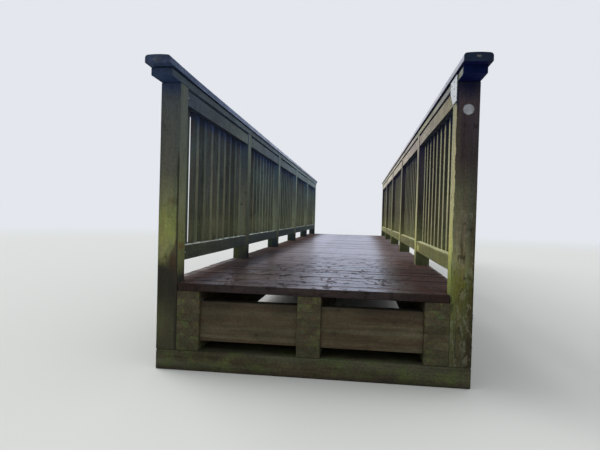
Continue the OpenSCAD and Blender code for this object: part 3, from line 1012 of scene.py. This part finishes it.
def makePanel(side, bay):
    node = f"panel_{side}_{bay}"
    low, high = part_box(node)
    parts = []
    for finish, foot in enumerate(panelShape["railFeet"]):
        for inner in (panelShape["innerRail"], panelShape["outerRail"]):
            parts.append(makeRail(side, inner, foot, low, high, finish))
    gap, starts = picketStarts(low, high)
    for k, start in enumerate(starts):
        slip = dice.uniform(-panelShape["slip"], panelShape["slip"])
        if (side, bay) == ("left", 1):
            slip = -panelShape["nearSlips"][k] if k > 0 else -gap * panelShape["firstShift"]
        parts.append(makePicket(side, start + slip, 2))
    keepPiece(node, joinParts(parts), panelFinishes[side])


for side in sides:
    for bay in range(1, bays + 1):
        makePanel(side, bay)
print("panels made")

# The timber on the post tops and the handrail over it, whose near left end has sprung up a little
railShape = {
    "underArris": 0.003, "endArris": 0.003, "shoulder": 0.016, "crown": 0.6, "crownStep": 0.015,
    "lift": 0.008, "liftFrom": -4.0, "liftReach": 0.77, "nearStep": 0.1, "step": 0.3, "sharp": 0.6,
}
railFinishes = {"left": (underRailLeft, handrailLeft), "right": (underRailRight, handrailRight)}


def makeUnderRail(side):
    node = f"under_rail_{side}"
    low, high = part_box(node)
    rows = spaced(low.y, high.y, railShape["step"])
    bm = planedTimber(low, high, railShape["underArris"], rows, axis=1)
    keepPiece(node, markTimber(bm), [railFinishes[side][0]])


def makeHandrail(side):
    node = f"handrail_{side}"
    shape = railShape
    low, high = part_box(node)
    bm = blockBetween(low, high)
    shoulders = [
        edge for edge in bm.edges
        if all(vert.co.z > high.z - hairline for vert in edge.verts)
        and abs(edge.verts[0].co.x - edge.verts[1].co.x) < hairline
    ]
    roundEdges(bm, shoulders, shape["shoulder"], segments=6)
    middle = (low.x + high.x) / 2
    cutLoops(bm, spaced(low.x + faceReach, high.x - faceReach, shape["crownStep"]), axis=0)
    for vert in bm.verts:
        if vert.co.z > low.z + faceReach:
            vert.co.z -= (vert.co.x - middle) ** 2 / (2 * shape["crown"])
    edges = sharpEdges(bm, shape["sharp"])
    ends = [edge for edge in edges if abs(edge.verts[0].co.y - edge.verts[1].co.y) < hairline]
    lower = [
        edge for edge in edges
        if all(vert.co.z < low.z + hairline for vert in edge.verts) and edge not in ends
    ]
    roundEdges(bm, ends + lower, shape["endArris"])
    liftFrom = shape["liftFrom"]
    rows = spaced(low.y, liftFrom, shape["nearStep"]) + spaced(liftFrom, high.y, shape["step"])
    cutLoops(bm, rows, axis=1)
    if side == "left":
        for vert in bm.verts:
            share = max(0.0, (liftFrom - vert.co.y) / shape["liftReach"])
            vert.co.z += shape["lift"] * share * share
    keepPiece(node, markTimber(bm), [railFinishes[side][1]])


for side in sides:
    makeUnderRail(side)
    makeHandrail(side)
print("handrails made")

# Deck
screwHeights = []  # how far the screws of each board sit above the deck's even top


def makeBoard(start, width, half, low, high):
    shape = deckShape
    slips = [dice.uniform(-shape["endSlip"], 0) for _ in range(2)]
    ends = (-half - slips[0], half + slips[1])
    rows = spaced(*ends, shape["rowStep"])
    bm = planedTimber((ends[0], start, low.z), (ends[1], start + width, high.z), shape["arris"], rows)
    middle = start + width / 2
    cutLoops(bm, [middle], axis=1)
    lift = dice.uniform(-shape["lift"], shape["lift"])
    cup = dice.uniform(0, shape["cup"])
    screwHeights.append(lift - cup * shape["screwCup"])
    for vert in bm.verts:
        if vert.co.z > low.z + faceReach:
            share = abs(vert.co.y - middle) / (width / 2)
            vert.co.z += lift - cup * (1 - share * share)
    return markTimber(bm)


def makeDeck(bay):
    shape = deckShape
    node = f"deck_boards_{bay}"
    low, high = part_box(node)
    parts = []
    for k in range(shape["perBay"]):
        half = shape["shortHalf"] if k == 0 else shape["longHalf"]
        parts.append(makeBoard(low.y + k * shape["pitch"], shape["width"], half, low, high))
    if bay == bays:
        start = low.y + shape["perBay"] * shape["pitch"]
        parts.append(makeBoard(start, shape["lastWidth"], shape["shortHalf"], low, high))
    keepPiece(node, joinParts(parts), [deckFinish])


for bay in range(1, bays + 1):
    makeDeck(bay)
print("deck made")

# Beams, the blocks between them under each pair of posts, and the bank seats
beamShape = {"arris": 0.006}
blockShape = {
    "arris": 0.004, "first": 0.21, "inset": 0.0225, "pitch": 1.8, "thick": 0.08,
    "inner": 0.07, "outer": 0.66, "foot": 0.18, "head": 0.42,
}
seatShape = {"arris": 0.008, "rowStep": 0.15, "wobble": 0.0012, "ripples": (11, 7, 23)}

for place in ("left", "middle", "right"):
    node = f"beam_{place}"
    low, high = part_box(node)
    bm = planedTimber(low, high, beamShape["arris"], spaced(low.z, high.z, beamGlue["layer"]), axis=2)
    keepPiece(node, markTimber(bm), [beamFinish])

blocks = []
for k in range(bays + 1):
    for sign in sides.values():
        shape = blockShape
        start = cadLow.y + shape["first"] + shape["inset"] + k * shape["pitch"]
        xs = sorted((sign * shape["inner"], sign * shape["outer"]))
        low, high = (xs[0], start, shape["foot"]), (xs[1], start + shape["thick"], shape["head"])
        blocks.append(markTimber(planedTimber(low, high, shape["arris"])))
keepPiece("cross_blocks", joinParts(blocks), [blockFinish])

for place in ("near", "far"):
    node = f"bank_seat_{place}"
    low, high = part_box(node)
    rows = spaced(low.x, high.x, seatShape["rowStep"])
    bm = planedTimber(low, high, seatShape["arris"], rows, segments=3)
    across, along, finer = seatShape["ripples"]
    for vert in bm.verts:
        if vert.co.z > low.z + faceReach:
            wave = math.sin(vert.co.x * across + vert.co.y * along) + math.sin(vert.co.x * finer)
            vert.co.y += seatShape["wobble"] * wave / 2
    keepPiece(node, markTimber(bm), [seatFinish])
print("beams and seats made")


def addDisc(bm, radius, depth, corners, top=1.0):
    # a short bar along Z around the origin, whose top has a share of its radius
    made = bmesh.ops.create_cone(
        bm, cap_ends=True, cap_tris=False, segments=corners,
        radius1=radius, radius2=radius * top, depth=depth,
    )
    return made["verts"]


def topFaces(bm, least=0.9):
    return [face for face in bm.faces if face.normal.z > least]


# Plate and marker on the first right post
plateShape = {"arris": 0.0008, "corner": 0.083}
markerShape = {"corners": 64, "arris": 0.0009, "rim": 0.003, "slope": 0.0012, "sunk": 0.0004}


def makePlate():
    low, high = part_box("post_plate")
    corner = plateShape["corner"]
    outline = [
        (low.y, low.z), (high.y - corner, low.z), (high.y, low.z + corner),
        (high.y, high.z), (low.y, high.z),
    ]
    bm = bmesh.new()
    face = bm.faces.new([bm.verts.new((high.x, y, z)) for y, z in outline])
    grown = bmesh.ops.extrude_face_region(bm, geom=[face])
    moved = [item for item in grown["geom"] if isinstance(item, bmesh.types.BMVert)]
    bmesh.ops.translate(bm, vec=(low.x - high.x, 0, 0), verts=moved)
    bmesh.ops.recalc_face_normals(bm, faces=bm.faces)
    roundEdges(bm, bm.edges[:], plateShape["arris"])
    keepPiece("post_plate", bm, [zincPlate])


def makeMarker():
    low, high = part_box("marker_disc")
    bm = bmesh.new()
    addDisc(bm, (high.x - low.x) / 2, high.y - low.y, markerShape["corners"])
    roundEdges(bm, sharpEdges(bm), markerShape["arris"], segments=3)
    front = topFaces(bm)
    bmesh.ops.inset_region(bm, faces=front, thickness=markerShape["rim"], depth=0.0)
    bmesh.ops.inset_region(bm, faces=front, thickness=markerShape["slope"], depth=-markerShape["sunk"])
    bmesh.ops.rotate(bm, cent=(0, 0, 0), matrix=Matrix.Rotation(math.pi / 2, 3, "X"), verts=bm.verts)
    bmesh.ops.translate(bm, vec=(low + high) / 2, verts=bm.verts)
    keepPiece("marker_disc", bm, [markerFinish])


makePlate()
makeMarker()
print("plate and marker made")

# Screws and bolts
fixingShape = {
    "deckScrew": 0.0055, "panelScrew": 0.005, "railScrew": 0.0055, "plateScrew": 0.0056,
    "proud": 0.0012, "prouder": 1.3, "sunk": 0.0006, "plateSunk": 0.0002,
    "washer": 0.026, "washerThick": 0.004, "washerArris": 0.0008,
    "boltHead": 0.0155, "headThick": 0.010, "headArris": 0.0018,
    # where they sit, in metres: rows across the deck, distances from edges, and faces of the timber
    "deckRows": (-0.73, 0.0, 0.73), "deckInset": 0.032, "stray": 0.006, "railInset": 0.016,
    "picketUp": 0.02, "picketAside": 0.01, "boltHeights": (0.22, 0.40), "boltFaces": (0.9245, 0.6602),
    # along and up from the plate's near lower corner, the last one into the rail behind it
    "plateNails": ((0.074, 0.124), (0.074, 0.087), (0.060, 0.041), (0.150, 0.120)),
}
# a screw's head in shares of its radius, and in shares of how far it stands out
screwShape = {
    "corners": 12, "top": 0.9, "edge": 0.25, "land": 0.25, "wall": 0.06, "rise": 0.25, "recess": 0.9,
    "sunk": 0.0003,
}


def screwHead(radius, proud):
    # a shallow domed head with a recess, looking along +Z with its rim at the surface
    shape = screwShape
    bm = bmesh.new()
    addDisc(bm, radius, proud, shape["corners"], shape["top"])
    bmesh.ops.translate(bm, vec=(0, 0, proud / 2 - shape["sunk"]), verts=bm.verts)
    top = topFaces(bm)
    for part, depth in (("edge", shape["rise"]), ("land", 0.0), ("wall", -shape["recess"])):
        bmesh.ops.inset_region(bm, faces=top, thickness=radius * shape[part], depth=proud * depth)
    return bm


def coachBolt():
    # washer and six-sided head, looking along +Z from the surface
    shape = fixingShape
    thick, headThick = shape["washerThick"], shape["headThick"]
    bm = bmesh.new()
    washer = addDisc(bm, shape["washer"], thick, corners=28)
    bmesh.ops.translate(bm, vec=(0, 0, thick / 2), verts=washer)
    roundEdges(bm, sharpEdges(bm), shape["washerArris"], segments=1)
    head = addDisc(bm, shape["boltHead"], headThick, corners=6)
    bmesh.ops.translate(bm, vec=(0, 0, thick + headThick / 2), verts=head)
    crown = [
        edge for edge in bm.edges
        if all(vert.co.z > thick + headThick - hairline for vert in edge.verts)
    ]
    roundEdges(bm, crown, shape["headArris"])
    return bm


def placeFixings(name, pattern, spots, finish=zincFixing):
    # copies one fixing to every spot, each given by a point and the way that it looks
    carrier = bpy.data.meshes.new("carrier")
    pattern.to_mesh(carrier)
    pattern.free()
    whole = bmesh.new()
    for point, looks in spots:
        before = set(whole.verts)
        whole.from_mesh(carrier)
        fresh = [vert for vert in whole.verts if vert not in before]
        turn = Vector(looks).to_track_quat("Z", "Y").to_matrix().to_4x4()
        spin = Matrix.Rotation(dice.uniform(0, math.tau), 4, "Z")
        bmesh.ops.transform(whole, matrix=Matrix.Translation(point) @ turn @ spin, verts=fresh)
    bpy.data.meshes.remove(carrier)
    keepPiece(name, whole, [finish], smooth=False)


def deckSpots():
    spots = []
    for k, height in enumerate(screwHeights):
        width = deckShape["lastWidth"] if k == len(screwHeights) - 1 else deckShape["width"]
        for x in fixingShape["deckRows"]:
            for y in (fixingShape["deckInset"], width - fixingShape["deckInset"]):
                across = x + dice.uniform(-fixingShape["stray"], fixingShape["stray"])
                along = firstBoard + k * deckShape["pitch"] + y
                spots.append(((across, along, deckTop + height - fixingShape["sunk"]), (0, 0, 1)))
    return spots


def sideSpots(side):
    # of the screws into the pickets, of those at the rails' ends, and of the bolts
    shape, fixing, sign = panelShape, fixingShape, sides[side]
    pickets, rails, bolts = [], [], []
    outer = sign * (shape["outerRail"] + shape["railThick"] - fixing["sunk"])
    inner = sign * (shape["innerRail"] + fixing["sunk"])
    heights = [foot + shape["railDepth"] / 2 for foot in reversed(shape["railFeet"])]
    for bay in range(1, bays + 1):
        low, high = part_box(f"panel_{side}_{bay}")
        for start in picketStarts(low, high)[1]:
            middle = start + shape["picketWidth"] / 2
            for height in heights:
                for step in (-1, 1):
                    along, up = middle + step * fixing["picketAside"], height + step * fixing["picketUp"]
                    pickets.append(((outer, along, up), (sign, 0, 0)))
        for height in heights:
            for along in (low.y + fixing["railInset"], high.y - fixing["railInset"]):
                rails.append(((inner, along, height), (-sign, 0, 0)))
                rails.append(((outer, along, height), (sign, 0, 0)))
    for number in range(1, bays + 2):
        low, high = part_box(f"post_{side}_{number}")
        for height in fixing["boltHeights"]:
            for face, looks in zip(fixing["boltFaces"], (sign, -sign)):
                bolts.append(((sign * face, (low.y + high.y) / 2, height), (looks, 0, 0)))
    return pickets, rails, bolts


proud = fixingShape["proud"]
prouder = proud * fixingShape["prouder"]
placeFixings("deckScrews", screwHead(fixingShape["deckScrew"], proud), deckSpots(), dullFixing)
for side in sides:
    pickets, rails, bolts = sideSpots(side)
    placeFixings(f"picketScrews{side.title()}", screwHead(fixingShape["panelScrew"], proud), pickets)
    placeFixings(f"railScrews{side.title()}", screwHead(fixingShape["railScrew"], prouder), rails)
    placeFixings(f"coachBolts{side.title()}", coachBolt(), bolts)

low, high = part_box("post_plate")
nails = [
    ((low.x + fixingShape["plateSunk"], low.y + along, low.z + up), (-1, 0, 0))
    for along, up in fixingShape["plateNails"]
]
placeFixings("plateScrews", screwHead(fixingShape["plateScrew"], prouder), nails, dullFixing)
print("screws and bolts made")

# Floor, backdrop and light
stageValues = {
    "floor": rgb(214, 214, 210), "floorSize": 120.0, "floorRough": 0.9, "floorShine": 0.1,
    "fade": (9.0, 26.0), "backdrop": rgb(228, 231, 237), "gloss": rgb(212, 222, 246),
    "ambient": 0.78, "ambientColour": (0.94, 0.97, 1.0, 1.0),
    "key": 1.7, "keyFrom": (-0.75, 0.35, 0.62), "keySoftness": 50.0,
}


def makeStage():
    bm = bmesh.new()
    bmesh.ops.create_grid(bm, x_segments=1, y_segments=1, size=stageValues["floorSize"])
    mesh = bpy.data.meshes.new("studioFloor")
    bm.to_mesh(mesh)
    bm.free()
    floor = bpy.data.objects.new("studioFloor", mesh)
    bpy.context.scene.collection.objects.link(floor)
    sheet = FinishSheet("studioFloor")
    sheet.dress({
        "Base Color": stageValues["floor"], "Roughness": stageValues["floorRough"],
        "Specular IOR Level": stageValues["floorShine"],
    })
    # the floor fades into the backdrop far off
    glow = sheet.add("ShaderNodeEmission", {"Color": stageValues["backdrop"]})
    far = sheet.slide(sheet.vectors("LENGTH", sheet.place), *stageValues["fade"])
    fade = sheet.add("ShaderNodeMixShader", (far, sheet.shader.outputs[0], glow.outputs[0]))
    sheet.join(fade.outputs[0], sheet.output.inputs["Surface"])
    mesh.materials.append(sheet.material)


def makeLight():
    world = bpy.data.worlds.new("studioSky")
    bpy.context.scene.world = world
    sky = NodeSheet(world)
    output = sky.add("ShaderNodeOutputWorld")
    room = sky.add("ShaderNodeBackground", (stageValues["ambientColour"], stageValues["ambient"]))
    backdrop = sky.add("ShaderNodeBackground", (stageValues["backdrop"],))
    gloss = sky.add("ShaderNodeBackground", (stageValues["gloss"],))
    path = sky.add("ShaderNodeLightPath")
    shown = room
    for ray, seen in (("Is Glossy Ray", gloss), ("Is Camera Ray", backdrop)):
        shown = sky.add("ShaderNodeMixShader", (path.outputs[ray], shown.outputs[0], seen.outputs[0]))
    sky.join(shown.outputs[0], output.inputs["Surface"])
    sun = bpy.data.lights.new("keyLight", "SUN")
    sun.energy = stageValues["key"]
    sun.angle = math.radians(stageValues["keySoftness"])
    lamp = bpy.data.objects.new("keyLight", sun)
    lamp.rotation_mode = "QUATERNION"
    lamp.rotation_quaternion = Vector(stageValues["keyFrom"]).to_track_quat("Z", "Y")
    bpy.context.scene.collection.objects.link(lamp)


makeStage()
makeLight()

# Camera, recovered from the lines of the bridge
cameraValues = {
    "place": (0.2787, -7.420, 0.950), "yaw": -6.867, "pitch": -1.080, "roll": 1.583, "lens": 29.68,
    "sensor": 36.0, "reach": 400.0,
}


def makeCamera():
    yaw, pitch, roll = (math.radians(cameraValues[key]) for key in ("yaw", "pitch", "roll"))
    forward = Vector((
        math.sin(yaw) * math.cos(pitch), math.cos(yaw) * math.cos(pitch), math.sin(pitch),
    ))
    level = Vector((math.cos(yaw), -math.sin(yaw), 0))
    upward = level.cross(forward)
    right = math.cos(roll) * level + math.sin(roll) * upward
    up = -math.sin(roll) * level + math.cos(roll) * upward
    lens = bpy.data.cameras.new("camera")
    lens.sensor_width = cameraValues["sensor"]
    lens.lens = cameraValues["lens"]
    lens.clip_end = cameraValues["reach"]
    camera = bpy.data.objects.new("camera", lens)
    turned = Matrix((right, up, -forward)).transposed()
    camera.matrix_world = Matrix.Translation(cameraValues["place"]) @ turned.to_4x4()
    bpy.context.scene.collection.objects.link(camera)
    bpy.context.scene.camera = camera


makeCamera()
bpy.context.scene.view_settings.view_transform = "Standard"
print("stage, light and camera made")
